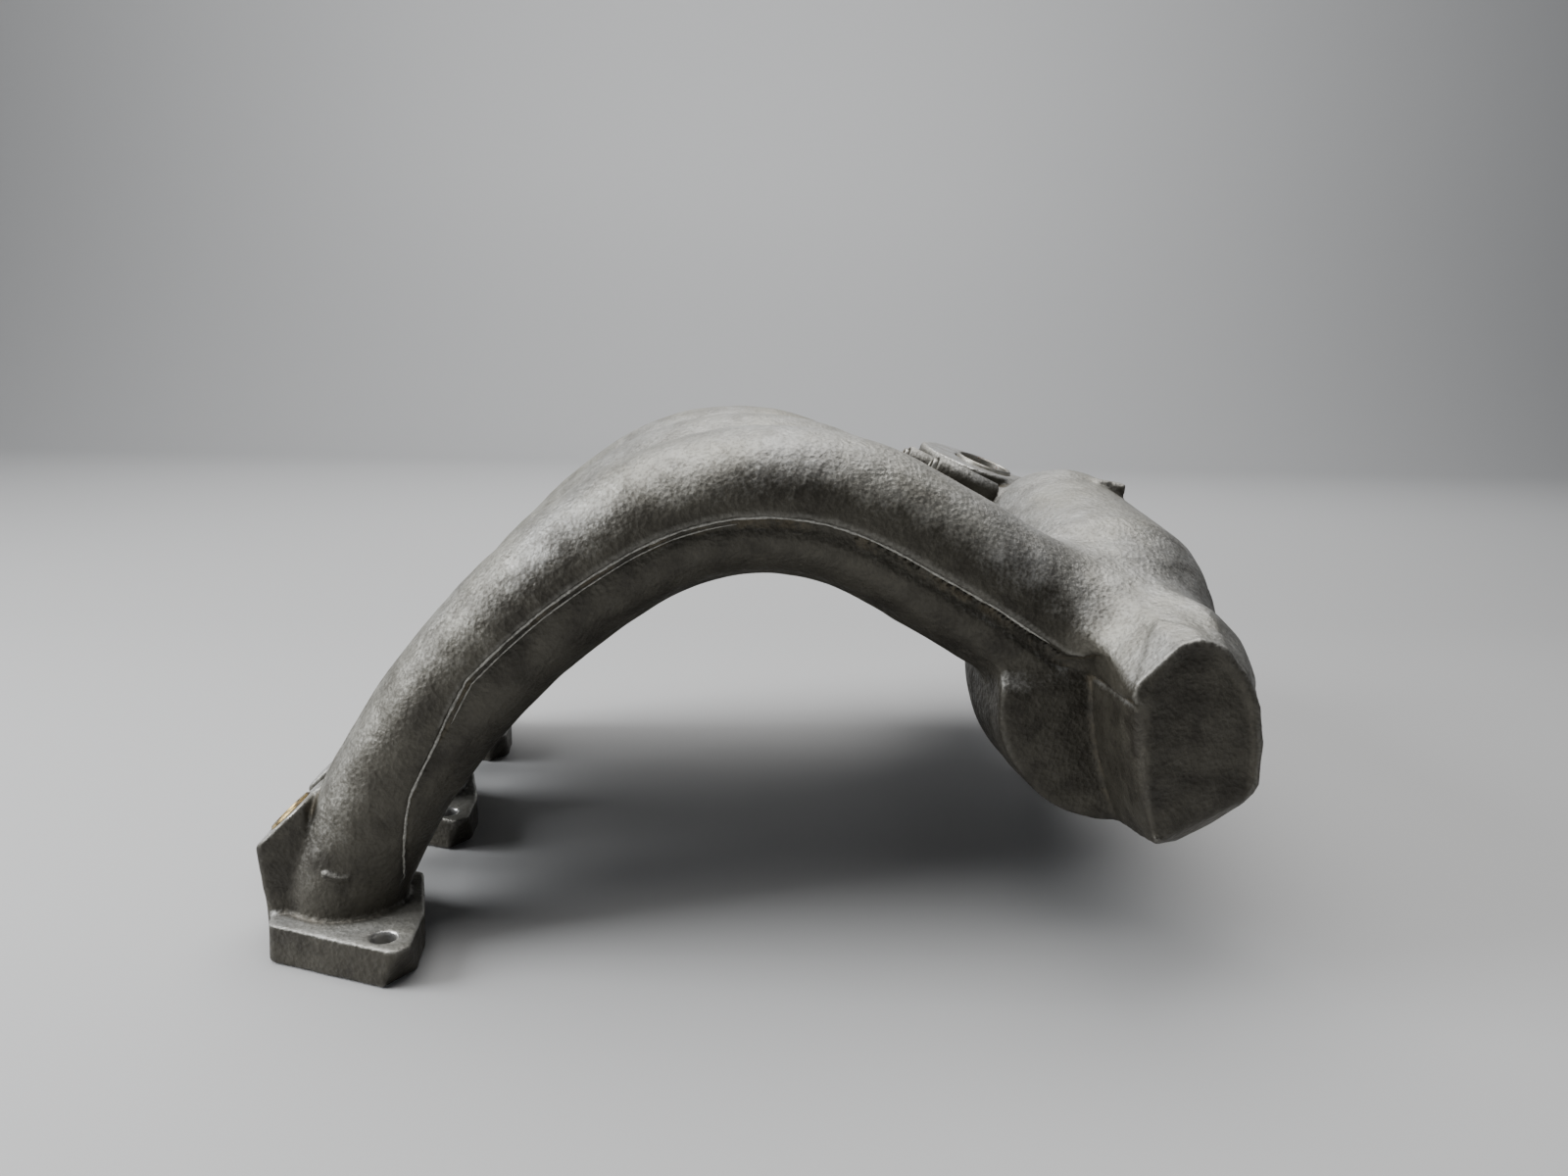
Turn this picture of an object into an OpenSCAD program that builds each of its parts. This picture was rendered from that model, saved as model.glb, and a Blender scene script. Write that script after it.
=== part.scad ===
// Intake manifold for one bank of a flat-six engine: three sand-cast runners that arch
// from their own head flanges over to a log plenum.
// X runs from the head flanges to the plenum, Y along the engine, Z up from the head faces.
// The origin is the middle port of the row, on the head face.

/* [Runners] */
// Distance between neighbouring runners
runner_pitch = 118; // [116:1:120]
// Outer radius of a runner at its foot
runner_foot_r = 21; // [20.5:0.5:21.5]
// Outer radius of a runner where it meets the plenum
runner_plenum_r = 29; // [28.5:0.5:29.5]
// Thickness of the cast walls
wall = 4; // [3.5:0.25:4.5]
// Bend radius just above the foot
foot_bend_r = 37; // [36:1:38]
// Bend radius of the long rise
rise_bend_r = 266; // [264:1:268]
// Bend radius of the crown of the arch
crown_bend_r = 96; // [95:1:97]

/* [Head flanges] */
// Thickness of a head flange
flange_t = 14.5; // [13.5:0.5:15.5]
// Diameter of a head flange bolt hole
flange_bolt_d = 9; // [8.5:0.5:9.5]
// Diameter of the port in a head flange
port_d = 34; // [33:0.5:35]
// Sideways place of a flange bolt hole from the port
flange_bolt_x = 20; // [19.5:0.1:20.5]
// Lengthways place of a flange bolt hole from the port
flange_bolt_y = 32.5; // [32:0.5:33]

/* [Injector bosses] */
// Width of an injector boss along the engine
injector_boss_w = 30; // [28:1:32]
// Outer diameter of an injector seat bush
injector_bush_d = 18; // [17:0.5:19]
// Bore of an injector seat bush
injector_bore_d = 14; // [13:0.5:15]
// Width of a fuel rail boss along the engine
rail_boss_w = 22; // [20:1:24]

/* [Plenum] */
// Outer radius of the plenum log
log_r = 50; // [49.5:0.5:50.5]
// Outer radius of the near chamber
chamber_r = 46; // [45.5:0.5:46.5]
// Outer radius of the big dome
dome_r = 47; // [46.5:0.5:47.5]
// Outer radius of the crest behind the dome
crest_r = 36; // [35.5:0.5:36.5]
// Length of the nose that stands out of the near wall
nose_len = 43; // [41:1:45]

/* [Air connections] */
// Bore of the throttle flange
throttle_bore_d = 60; // [56:1:62]
// Side of the square of throttle studs
throttle_stud_pitch = 62; // [61:1:63]
// Outer diameter of the auxiliary air port
air_port_d = 54; // [52:1:56]
// Bore of the sleeve in the auxiliary air port
air_port_bore_d = 26; // [25:1:27]
// Outer diameter of a vacuum pipe
vacuum_pipe_d = 8; // [7.5:0.5:8.5]

/* [Hidden] */
$fn = 96;
cut = 1;

cast_top = "#b9b8b0";
cast_side = "#8f8c84";
machined = "#c9cacb";
steel = "#9a9ea3";
brass = "#b59a56";

runner_count = 3;
first_y = -runner_pitch * (runner_count - 1) / 2;
function runner_y(i) = first_y + runner_pitch * (i - 1);

// The runner's centre line, as arcs that each turn it a little further over
foot_turn = 22;
rise_turn = 34;
rise_pieces = 4;
crown_turn = 63;
crown_pieces = 3;
arc_count = 1 + rise_pieces + crown_pieces;
drop_len = 74;
lap = 0.1;
function bend_r(i) = i == 0 ? foot_bend_r : i <= rise_pieces ? rise_bend_r : crown_bend_r;
function turn(i) =
    i == 0 ? foot_turn : i <= rise_pieces ? rise_turn / rise_pieces : crown_turn / crown_pieces;
function heading(i) = i == 0 ? 90 : heading(i - 1) - turn(i - 1);
function arc_start(i) = i == 0 ? [0, flange_t] : arc_start(i - 1) + bend_r(i - 1) * [
    sin(heading(i - 1)) - sin(heading(i)),
    cos(heading(i)) - cos(heading(i - 1))
];
function tube_r(i) = runner_foot_r + (runner_plenum_r - runner_foot_r) * i / arc_count;

// Plenum: the near chamber, the dome, the crest and the log, as [x, z] of their axes
chamber_at = [277, 97];
dome_at = [289, 116];
crest_at = [290, 136.5];
log_at = [300, 109];
near_wall_y = first_y - 23;
dome_y = first_y + 32;
crest_y = first_y + 83;
split_y = first_y + 46;
dome_end_y = first_y + 150;
chamber_dome_y = first_y + 20;
log_dome_y = first_y + 92;
log_end_y = first_y + 282;
floor_t = 5;
slice_size = 300;

// Nose outline as [x, z, corner radius]
nose_corners = [
    [279, 106, 8.5], [291, 115, 13], [299.5, 104, 13], [304.5, 83, 9], [282, 69, 8.5]
];
nose_opening_len = 20;

flange_pts_r = 10.5;
flange_land = 4;
throttle_flange_t = 12;
throttle_corner_r = 11;
throttle_stud_d = 8;
throttle_stud_core_d = 7;
throttle_stud_len = 28;

injector_tilt = 44;
injector_face_mid = [-19.5, 48.5];
injector_reach = 50;
injector_passage_d = 11;
injector_bush_len = 8;
injector_bush_out = 2;
boss_lean = 6.2;
boss_foot_x = -26.8;
boss_outer_x = -36;
boss_inner_x = 4;
boss_height = 70;
seat_reach = 100;

rail_boss_low_z = 31;
rail_insert_d = 10;
rail_thread_d = 6;
rail_insert_len = 8;
rail_tap_room = 5;
rail_tap_room_d = 8;

air_port_at = [274.5, first_y + 184, 168.5];
air_port_tilt_x = 8;
air_port_tilt_y = 18;
air_port_len = 24;
air_port_offset = 7.5;
air_port_drop = 22;
air_port_passage_d = 28;
air_port_elbow_d = 29.4;
air_port_sleeve_d = 30;
air_port_sleeve_len = 14;
air_port_sleeve_out = 1.5;

vacuum_mouth = [234, 171.5];
vacuum_slope = 25;
vacuum_boss_r = 6;
vacuum_boss_len = 44;
vacuum_pipe_len = 22;
vacuum_pipe_out = 2;
vacuum_pipe_bore_d = 5.5;
vacuum_front_y = first_y + 90;
vacuum_rear_y = first_y + 154;

web_offset = 12;
web_t = 4.5;
web_drop_len = 34;

lug_at = [308.5, first_y + 71, 160.2];
lug_tilt = 20;
lug_size = [15, 9, 9];

stay_at = [324, first_y + 170];
stay_r = 11;
stay_insert_d = 12;
stay_thread_d = 8;
stay_insert_len = 18;

plug_y = first_y + 225;
plug_d = 34;
plug_t = 6;
plug_depth = 2;

// ---------------------------------------------------------------- shared shapes

module along_y(at, from_y, to_y, r) {
    translate([at[0], to_y, at[1]])
        rotate([90, 0, 0])
            cylinder(r = r, h = to_y - from_y);
}

module at_heading(at, y, h) {
    translate([at[0], y, at[1]])
        rotate([0, 90 - h, 0])
            children();
}

module bend(i, r) {
    centre = arc_start(i) + bend_r(i) * [sin(heading(i)), -cos(heading(i))];
    translate([centre[0], 0, centre[1]])
        rotate([90, 0, 0])
            rotate([0, 0, heading(i + 1) + 90 - lap])
                rotate_extrude(angle = turn(i) + lap, $fn = 240)
                    translate([bend_r(i), 0])
                        circle(r = r);
}

// The straight end of a runner, from the crown down into the plenum
module runner_drop(i, inset) {
    at_heading(arc_start(arc_count), runner_y(i), heading(arc_count))
        cylinder(r = runner_plenum_r - inset, h = drop_len);
}

// The runner as a solid, thinned by inset
module runner_solid(i, inset) {
    translate([0, runner_y(i), 0])
        for (k = [0 : arc_count - 1]) bend(k, tube_r(k) - inset);
    runner_drop(i, inset);
}

// Round bar along Y with one domed end, whose dome is centred at dome_y and points towards
// the other end of the engine from flat_y
module domed_bar(at, flat_y, dome_y, r) {
    length = abs(dome_y - flat_y);
    translate([at[0], dome_y, at[1]])
        rotate([dome_y > flat_y ? 90 : -90, 0, 0])
            rotate_extrude()
                union() {
                    square([r, length]);
                    intersection() {
                        circle(r = r);
                        translate([0, -r]) square([r, r]);
                    }
                }
}

// The plenum's whole outer form without the nose, thinned by inset
module plenum_solid(inset) {
    domed_bar(chamber_at, near_wall_y + inset, chamber_dome_y, chamber_r - inset);
    translate([dome_at[0], dome_y, dome_at[1]]) sphere(r = dome_r - inset);
    translate([crest_at[0], crest_y, crest_at[1]]) sphere(r = crest_r - inset);
    domed_bar(log_at, log_end_y, log_dome_y, log_r - inset);
}

module nose_solid(inset, from_y, to_y) {
    translate([0, to_y, 0])
        rotate([90, 0, 0])
            linear_extrude(to_y - from_y)
                hull()
                    for (c = nose_corners)
                        translate([c[0], c[1]]) circle(r = c[2] - inset, $fn = 32);
}

module slice(from_y, to_y) {
    translate([log_at[0] - slice_size / 2, from_y, log_at[1] - slice_size / 2])
        cube([slice_size, to_y - from_y, slice_size]);
}

// ---------------------------------------------------------------- castings

// Diamond flange with rounded ends, the port and two bolt holes
module flange_outline() {
    hull() {
        circle(r = runner_foot_r + flange_land, $fn = 32);
        for (s = [-1, 1])
            translate([s * flange_bolt_x, -s * flange_bolt_y]) circle(r = flange_pts_r, $fn = 32);
    }
}

module head_flange(i) {
    color(machined)
        translate([0, runner_y(i), 0])
            difference() {
                linear_extrude(flange_t) flange_outline();
                translate([0, 0, -cut]) cylinder(d = port_d, h = flange_t + 2 * cut);
                for (s = [-1, 1])
                    translate([s * flange_bolt_x, -s * flange_bolt_y, -cut])
                        cylinder(d = flange_bolt_d, h = flange_t + 2 * cut);
            }
}

module injector_axis(y) {
    translate([injector_face_mid[0], y, injector_face_mid[1]])
        rotate([0, -injector_tilt, 0])
            children();
}

// Passage from the sloping face into the runner, with the counterbore for the bush
module injector_hole(y) {
    injector_axis(y) {
        translate([0, 0, -injector_reach])
            cylinder(d = injector_passage_d, h = injector_reach + cut);
        translate([0, 0, -injector_bush_len])
            cylinder(d = injector_bush_d, h = injector_bush_len + cut);
    }
}

module runner(i) {
    color(cast_top)
        difference() {
            runner_solid(i, 0);
            runner_solid(i, wall);
            plenum_solid(0);
            injector_hole(runner_y(i));
        }
}

// Block with a sloping machined face and an outer side that leans out, as wide as w
module sloped_block(y, w, low_z) {
    intersection() {
        translate([boss_outer_x, y - w / 2, low_z])
            cube([boss_inner_x - boss_outer_x, w, boss_height]);
        injector_axis(y)
            translate([-seat_reach / 2, -w / 2, -injector_reach])
                cube([seat_reach, w, injector_reach]);
        translate([boss_foot_x, y, flange_t])
            rotate([0, -boss_lean, 0])
                translate([0, -w, -seat_reach / 2])
                    cube([seat_reach, 2 * w, 2 * seat_reach]);
    }
}

module injector_boss(i) {
    color(cast_side)
        difference() {
            sloped_block(runner_y(i), injector_boss_w, flange_t);
            translate([0, runner_y(i), 0])
                for (k = [0 : 2]) bend(k, tube_r(k));
            injector_hole(runner_y(i));
        }
}

// Boss between two feet that the fuel rail bracket bolts to, behind the web
module rail_boss(i) {
    y = runner_y(i) + runner_pitch / 2;
    color(cast_side)
        difference() {
            sloped_block(y, rail_boss_w, rail_boss_low_z);
            web_solid(i, true);
            injector_axis(y) {
                translate([0, 0, -rail_insert_len])
                    cylinder(d = rail_insert_d, h = rail_insert_len + cut);
                translate([0, 0, -rail_insert_len - rail_tap_room])
                    cylinder(d = rail_tap_room_d, h = rail_tap_room + cut);
            }
        }
}

// Thin wall between two neighbouring runners, following the arcs from one heading to another;
// filled, it takes in everything under the arc
module web_band(first, last, filled) {
    radius = bend_r(first) + web_offset;
    centre = arc_start(first) + bend_r(first) * [sin(heading(first)), -cos(heading(first))];
    from_angle = heading(last + 1) + 90 - lap;
    to_angle = heading(first) + 90;
    reach = 2 * radius;
    translate([centre[0], runner_pitch / 2, centre[1]])
        rotate([90, 0, 0])
            linear_extrude(runner_pitch)
                intersection() {
                    difference() {
                        circle(r = radius + web_t, $fn = 180);
                        if (!filled) circle(r = radius, $fn = 180);
                    }
                    polygon([
                        [0, 0],
                        reach * [cos(from_angle), sin(from_angle)],
                        reach * [cos(to_angle), sin(to_angle)]
                    ]);
                }
}

module web_solid(i, filled) {
    translate([0, runner_y(i) + runner_pitch / 2, 0]) {
        web_band(1, rise_pieces, filled);
        web_band(rise_pieces + 1, arc_count - 1, filled);
        at_heading(arc_start(arc_count), 0, heading(arc_count))
            translate([-web_offset - web_t, -runner_pitch / 2, 0])
                cube([web_t, runner_pitch, web_drop_len]);
    }
}

module runner_web(i) {
    color(cast_top)
        difference() {
            web_solid(i, false);
            runner_solid(i, 0);
            runner_solid(i + 1, 0);
            plenum_solid(0);
            for (y = [vacuum_front_y, vacuum_rear_y])
                vacuum_axis(y) cylinder(r = vacuum_boss_r, h = vacuum_boss_len);
        }
}

module plenum_nose() {
    color(cast_side)
        difference() {
            nose_solid(0, near_wall_y - nose_len, near_wall_y);
            nose_solid(wall, near_wall_y - nose_len + floor_t, near_wall_y + cut);
        }
}

module plenum_near_chamber() {
    color(cast_top)
        difference() {
            intersection() {
                plenum_solid(0);
                slice(near_wall_y, split_y);
            }
            plenum_solid(wall);
            nose_solid(wall, near_wall_y - cut, near_wall_y + nose_opening_len);
            runner_drop(1, wall);
        }
}

module plenum_dome() {
    color(cast_top)
        difference() {
            intersection() {
                plenum_solid(0);
                slice(split_y, dome_end_y);
            }
            plenum_solid(wall);
            runner_drop(2, wall);
        }
}

module plenum_log() {
    color(cast_top)
        difference() {
            intersection() {
                plenum_solid(0);
                slice(dome_end_y, log_end_y);
            }
            plenum_solid(wall);
            runner_drop(runner_count, wall);
            air_port_passage();
            plug_place() cylinder(d = plug_d, h = plug_t + plug_depth + cut);
        }
}

module throttle_flange() {
    color(machined)
        difference() {
            translate([log_at[0], log_end_y, log_at[1]])
                rotate([-90, 0, 0])
                    linear_extrude(throttle_flange_t)
                        hull()
                            for (sx = [-1, 1], sy = [-1, 1])
                                translate(throttle_stud_pitch / 2 * [sx, sy])
                                    circle(r = throttle_corner_r, $fn = 32);
            along_y(
                log_at, log_end_y - cut, log_end_y + throttle_flange_t + cut, throttle_bore_d / 2
            );
            throttle_stud_places()
                translate([0, 0, -cut])
                    cylinder(d = throttle_stud_core_d, h = throttle_flange_t + 2 * cut);
        }
}

module throttle_stud_places() {
    for (sx = [-1, 1], sz = [-1, 1])
        translate([
            log_at[0] + sx * throttle_stud_pitch / 2,
            log_end_y,
            log_at[1] + sz * throttle_stud_pitch / 2
        ])
            rotate([-90, 0, 0])
                children();
}

module air_port_axis() {
    translate(air_port_at)
        rotate([air_port_tilt_x, air_port_tilt_y, 0])
            children();
}

// Hole of the sleeve, an elbow, and the way straight down into the log
module air_port_passage() {
    air_port_axis()
        translate([air_port_offset, 0, air_port_sleeve_out - air_port_sleeve_len]) {
            cylinder(d = air_port_sleeve_d, h = air_port_len);
            translate([0, 0, -1]) {
                sphere(d = air_port_elbow_d);
                rotate([-air_port_tilt_x, 0, 0])
                    rotate([0, -air_port_tilt_y, 0])
                        translate([0, 0, -air_port_drop])
                            cylinder(d = air_port_passage_d, h = air_port_drop);
            }
        }
}

module auxiliary_air_port() {
    color(cast_top)
        difference() {
            air_port_solid();
            air_port_passage();
            plenum_solid(0);
            for (i = [2, 3]) runner_drop(i, 0);
        }
}

module vacuum_axis(y) {
    at_heading(vacuum_mouth, y, -vacuum_slope) children();
}

module vacuum_boss(y) {
    color(cast_top)
        difference() {
            vacuum_axis(y) cylinder(r = vacuum_boss_r, h = vacuum_boss_len);
            vacuum_axis(y)
                translate([0, 0, -cut])
                    cylinder(d = vacuum_pipe_d, h = vacuum_boss_len + 2 * cut);
            plenum_solid(0);
            for (i = [2, 3]) runner_drop(i, 0);
            air_port_solid();
        }
}

module air_port_solid() {
    air_port_axis()
        translate([0, 0, -air_port_len])
            cylinder(d = air_port_d, h = air_port_len);
}

module plenum_lug() {
    color(cast_side)
        difference() {
            translate(lug_at) rotate([0, lug_tilt, 0]) cube(lug_size, center = true);
            plenum_solid(0, $fn = 288);
        }
}

// Leg that carries the stay bracket and holds the plenum level
module stay_leg() {
    color(cast_side)
        difference() {
            translate([stay_at[0], stay_at[1], 0]) cylinder(r = stay_r, h = log_at[1]);
            plenum_solid(0);
            translate([stay_at[0], stay_at[1], -cut])
                cylinder(d = stay_insert_d, h = stay_insert_len + cut);
        }
}

// ---------------------------------------------------------------- fitted pieces

module injector_seat_bushes() {
    color(brass)
        for (i = [1 : runner_count])
            injector_axis(runner_y(i))
                translate([0, 0, -injector_bush_len])
                    difference() {
                        cylinder(d = injector_bush_d, h = injector_bush_len + injector_bush_out);
                        translate([0, 0, -cut])
                            cylinder(
                                d = injector_bore_d,
                                h = injector_bush_len + injector_bush_out + 2 * cut
                            );
                    }
}

module rail_thread_inserts() {
    color(steel)
        for (i = [1 : runner_count - 1])
            injector_axis(runner_y(i) + runner_pitch / 2)
                translate([0, 0, -rail_insert_len])
                    difference() {
                        cylinder(d = rail_insert_d, h = rail_insert_len);
                        translate([0, 0, -cut])
                            cylinder(d = rail_thread_d, h = rail_insert_len + 2 * cut);
                    }
}

module throttle_studs() {
    color(steel)
        throttle_stud_places() {
            cylinder(d = throttle_stud_core_d, h = throttle_flange_t);
            translate([0, 0, throttle_flange_t])
                cylinder(d = throttle_stud_d, h = throttle_stud_len);
        }
}

module air_port_sleeve() {
    color(steel)
        air_port_axis()
            translate([air_port_offset, 0, air_port_sleeve_out - air_port_sleeve_len])
                difference() {
                    cylinder(d = air_port_sleeve_d, h = air_port_sleeve_len);
                    translate([0, 0, -cut])
                        cylinder(d = air_port_bore_d, h = air_port_sleeve_len + 2 * cut);
                }
}

module vacuum_pipe(y) {
    color(steel)
        vacuum_axis(y)
            translate([0, 0, -vacuum_pipe_out])
                difference() {
                    cylinder(d = vacuum_pipe_d, h = vacuum_pipe_len);
                    translate([0, 0, -cut])
                        cylinder(d = vacuum_pipe_bore_d, h = vacuum_pipe_len + 2 * cut);
                }
}

module stay_thread_insert() {
    color(steel)
        translate([stay_at[0], stay_at[1], 0])
            difference() {
                cylinder(d = stay_insert_d, h = stay_insert_len);
                translate([0, 0, -cut])
                    cylinder(d = stay_thread_d, h = stay_insert_len + 2 * cut);
            }
}

module plug_place() {
    translate([log_at[0] + log_r - plug_depth - plug_t, plug_y, log_at[1]])
        rotate([0, 90, 0])
            children();
}

module core_plug() {
    color(steel)
        intersection() {
            plug_place() cylinder(d = plug_d, h = plug_t);
            along_y(log_at, split_y, log_end_y, log_r);
        }
}

head_flange(1);  // head_flange_1
head_flange(2);  // head_flange_2
head_flange(3);  // head_flange_3
runner(1);  // runner_1
runner(2);  // runner_2
runner(3);  // runner_3
injector_boss(1);  // injector_boss_1
injector_boss(2);  // injector_boss_2
injector_boss(3);  // injector_boss_3
runner_web(1);  // runner_web_1
runner_web(2);  // runner_web_2
rail_boss(1);  // rail_boss_1
rail_boss(2);  // rail_boss_2
plenum_nose();
plenum_near_chamber();
plenum_dome();
plenum_log();
throttle_flange();
auxiliary_air_port();
vacuum_boss(vacuum_front_y);  // vacuum_boss_front
vacuum_boss(vacuum_rear_y);  // vacuum_boss_rear
plenum_lug();
stay_leg();
injector_seat_bushes();
rail_thread_inserts();
throttle_studs();
air_port_sleeve();
vacuum_pipe(vacuum_front_y);  // vacuum_pipe_front
vacuum_pipe(vacuum_rear_y);  // vacuum_pipe_rear
stay_thread_insert();
core_plug();
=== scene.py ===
"""Looks of the intake manifold: a seamless sand-cast skin and the small pieces fitted to it.

The casting is modelled as a signed distance field in millimetres, in the CAD frame: X from the head
flanges to the plenum, Y along the engine away from the camera, Z up from the head faces. A Window is
the box of the grid in which one shape is worked out.
"""

import math

import bmesh
import bpy
import numpy as np
from mathutils import Matrix, Vector


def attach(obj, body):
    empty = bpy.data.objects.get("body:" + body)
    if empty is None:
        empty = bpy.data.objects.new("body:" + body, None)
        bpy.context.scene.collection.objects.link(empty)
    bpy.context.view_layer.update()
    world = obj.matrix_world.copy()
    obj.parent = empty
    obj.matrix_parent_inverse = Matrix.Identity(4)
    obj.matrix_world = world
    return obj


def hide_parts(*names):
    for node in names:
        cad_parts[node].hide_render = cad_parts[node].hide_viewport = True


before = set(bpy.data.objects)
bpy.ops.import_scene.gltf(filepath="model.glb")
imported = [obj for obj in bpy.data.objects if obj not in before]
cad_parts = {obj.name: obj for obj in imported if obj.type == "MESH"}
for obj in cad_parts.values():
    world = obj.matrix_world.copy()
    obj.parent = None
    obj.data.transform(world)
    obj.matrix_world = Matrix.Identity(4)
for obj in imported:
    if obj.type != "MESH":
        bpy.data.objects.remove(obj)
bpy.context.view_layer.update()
MM = 0.001

# ---------------------------------------------------------------- camera, floor and light


def aim(obj, target):
    direction = Vector(target) - obj.location
    obj.rotation_euler = direction.to_track_quat("-Z", "Y").to_euler()


def make_camera():
    data = bpy.data.cameras.new("camera")
    data.sensor_width = 36.0
    data.lens = 26.76
    data.clip_end = 50.0
    cam = bpy.data.objects.new("camera", data)
    heading, pitch, roll = math.radians(5.61), math.radians(-10.45), math.radians(1.51)
    forward = Vector(
        (
            math.sin(heading) * math.cos(pitch),
            math.cos(heading) * math.cos(pitch),
            math.sin(pitch),
        )
    )
    right = Vector((math.cos(heading), -math.sin(heading), 0.0))
    up = right.cross(forward)
    turned_right = math.cos(roll) * right + math.sin(roll) * up
    turned_up = -math.sin(roll) * right + math.cos(roll) * up
    turn = Matrix((turned_right, turned_up, -forward)).transposed()
    cam.matrix_world = Matrix.Translation((0.1185, -0.5379, 0.2109)) @ turn.to_4x4()
    bpy.context.scene.collection.objects.link(cam)
    bpy.context.scene.camera = cam


def area_light(name, place, target, size, power, tint):
    data = bpy.data.lights.new(name, "AREA")
    data.shape = "RECTANGLE"
    data.size, data.size_y = size
    data.energy = power
    data.color = tint
    lamp = bpy.data.objects.new(name, data)
    lamp.location = place
    aim(lamp, target)
    bpy.context.scene.collection.objects.link(lamp)


def make_stage():
    """A pale floor that curves up into a backdrop."""
    low, radius, back, side, height = -0.0002, 0.9, 2.2, 6.0, 4.0
    profile = [(-5.0, low), (back, low)]
    for k in range(1, 17):
        a = math.radians(90 * k / 16)
        profile.append((back + radius * math.sin(a), low + radius * (1 - math.cos(a))))
    profile.append((back + radius, height))
    mesh = bmesh.new()
    rows = [[mesh.verts.new((x, y, z)) for y, z in profile] for x in (-side, side)]
    for k in range(len(profile) - 1):
        mesh.faces.new((rows[0][k], rows[1][k], rows[1][k + 1], rows[0][k + 1]))
    data = bpy.data.meshes.new("studio_floor")
    mesh.to_mesh(data)
    mesh.free()
    data.polygons.foreach_set("use_smooth", [True] * len(data.polygons))
    floor = bpy.data.objects.new("studio_floor", data)
    bpy.context.scene.collection.objects.link(floor)
    mat = bpy.data.materials.new("floor_paint")
    mat.use_nodes = True
    shader = mat.node_tree.nodes["Principled BSDF"]
    shader.inputs["Base Color"].default_value = (0.60, 0.605, 0.61, 1)
    shader.inputs["Roughness"].default_value = 0.55
    data.materials.append(mat)


def make_lights():
    world = bpy.data.worlds.new("world")
    bpy.context.scene.world = world
    world.use_nodes = True
    world.node_tree.nodes["Background"].inputs["Color"].default_value = (0.9, 0.93, 1.0, 1)
    world.node_tree.nodes["Background"].inputs["Strength"].default_value = 0.10
    area_light("key", (0.05, 0.10, 1.35), (0.14, 0.0, 0.1), (2.0, 1.3), 25, (1.0, 0.985, 0.965))
    area_light("left", (-1.3, -0.25, 0.8), (0.1, 0.0, 0.1), (0.9, 0.9), 27, (0.97, 0.985, 1.0))
    area_light("backdrop", (0.3, 1.0, 1.6), (0.3, 3.0, 0.9), (3.0, 0.6), 40, (1.0, 1.0, 1.0))


# ---------------------------------------------------------------- distance field


def axis_points(stops):
    """Grid planes along one axis: stops is [(from, step), ..., (end, None)]."""
    out = [stops[0][0]]
    for (start, step), (end, _) in zip(stops, stops[1:]):
        count = max(1, round((end - start) / (step * 1.0)))
        out += [start + (end - start) * k / count for k in range(1, count + 1)]
    return np.array(out)


XS = axis_points([(-40.0, 1.0), (40.0, 1.6), (262.0, 1.1), (322.0, 1.6), (360.0, None)])
YS = axis_points([(-188.0, 1.1), (-96.0, 1.7), (180.0, None)])
ZS = axis_points([(-2.0, 1.0), (66.0, 1.5), (98.0, 1.1), (134.0, 1.5), (197.0, None)])
SHAPE = (len(XS), len(YS), len(ZS))
FAR = 60.0


class Window:
    """A box of the grid, with its coordinates as arrays that broadcast."""

    def __init__(self, low, high):
        self.cut = []
        for axis, points in enumerate((XS, YS, ZS)):
            a = int(np.searchsorted(points, low[axis]))
            b = int(np.searchsorted(points, high[axis]))
            self.cut.append(slice(max(a - 1, 0), min(b + 1, len(points))))
        self.cut = tuple(self.cut)
        self.x = XS[self.cut[0]].astype(np.float32)[:, None, None]
        self.y = YS[self.cut[1]].astype(np.float32)[None, :, None]
        self.z = ZS[self.cut[2]].astype(np.float32)[None, None, :]

    def plane(self, field):
        """A field over (x, z) as an array that broadcasts in this window."""
        return field[self.cut[0], self.cut[2]][:, None, :]


def smooth_min(a, b, k):
    h = np.clip(0.5 + 0.5 * (b - a) / k, 0.0, 1.0)
    return b + (a - b) * h - k * h * (1.0 - h)


def smooth_max(a, b, k):
    return -smooth_min(-a, -b, k)


def smooth_step(a, b, t):
    t = np.clip((t - a) / (b - a), 0.0, 1.0)
    return t * t * (3.0 - 2.0 * t)


def box_distance(px, py, pz, half, r):
    """Distance to a box with edges rounded by r."""
    qx, qy, qz = abs(px) - half[0] + r, abs(py) - half[1] + r, abs(pz) - half[2] + r
    outside = np.sqrt(np.maximum(qx, 0) ** 2 + np.maximum(qy, 0) ** 2 + np.maximum(qz, 0) ** 2)
    return outside + np.minimum(np.maximum(np.maximum(qx, qy), qz), 0.0) - r


def disc_distance(radial, axial, r, half, edge):
    """Distance to a short cylinder with edges rounded by edge."""
    a, b = radial - r + edge, abs(axial) - half + edge
    outside = np.sqrt(np.maximum(a, 0) ** 2 + np.maximum(b, 0) ** 2)
    return outside + np.minimum(np.maximum(a, b), 0.0) - edge


def polygon_distance(px, pz, corners):
    """Signed distance to a convex polygon whose corners go counterclockwise."""
    best = None
    inside = None
    for (ax, az), (bx, bz) in zip(corners, corners[1:] + corners[:1]):
        ex, ez = bx - ax, bz - az
        length = math.hypot(ex, ez)
        wx, wz = px - ax, pz - az
        t = np.clip((wx * ex + wz * ez) / length**2, 0.0, 1.0)
        gap = np.hypot(wx - ex * t, wz - ez * t)
        side = (wx * ez - wz * ex) / length
        best = gap if best is None else np.minimum(best, gap)
        inside = side if inside is None else np.maximum(inside, side)
    return np.where(inside > 0, best, -best)


# The runner's centre line in the XZ plane, as arcs that each turn it further over
PITCH = 118.0
RUNNER_Y = (-PITCH, 0.0, PITCH)
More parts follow.
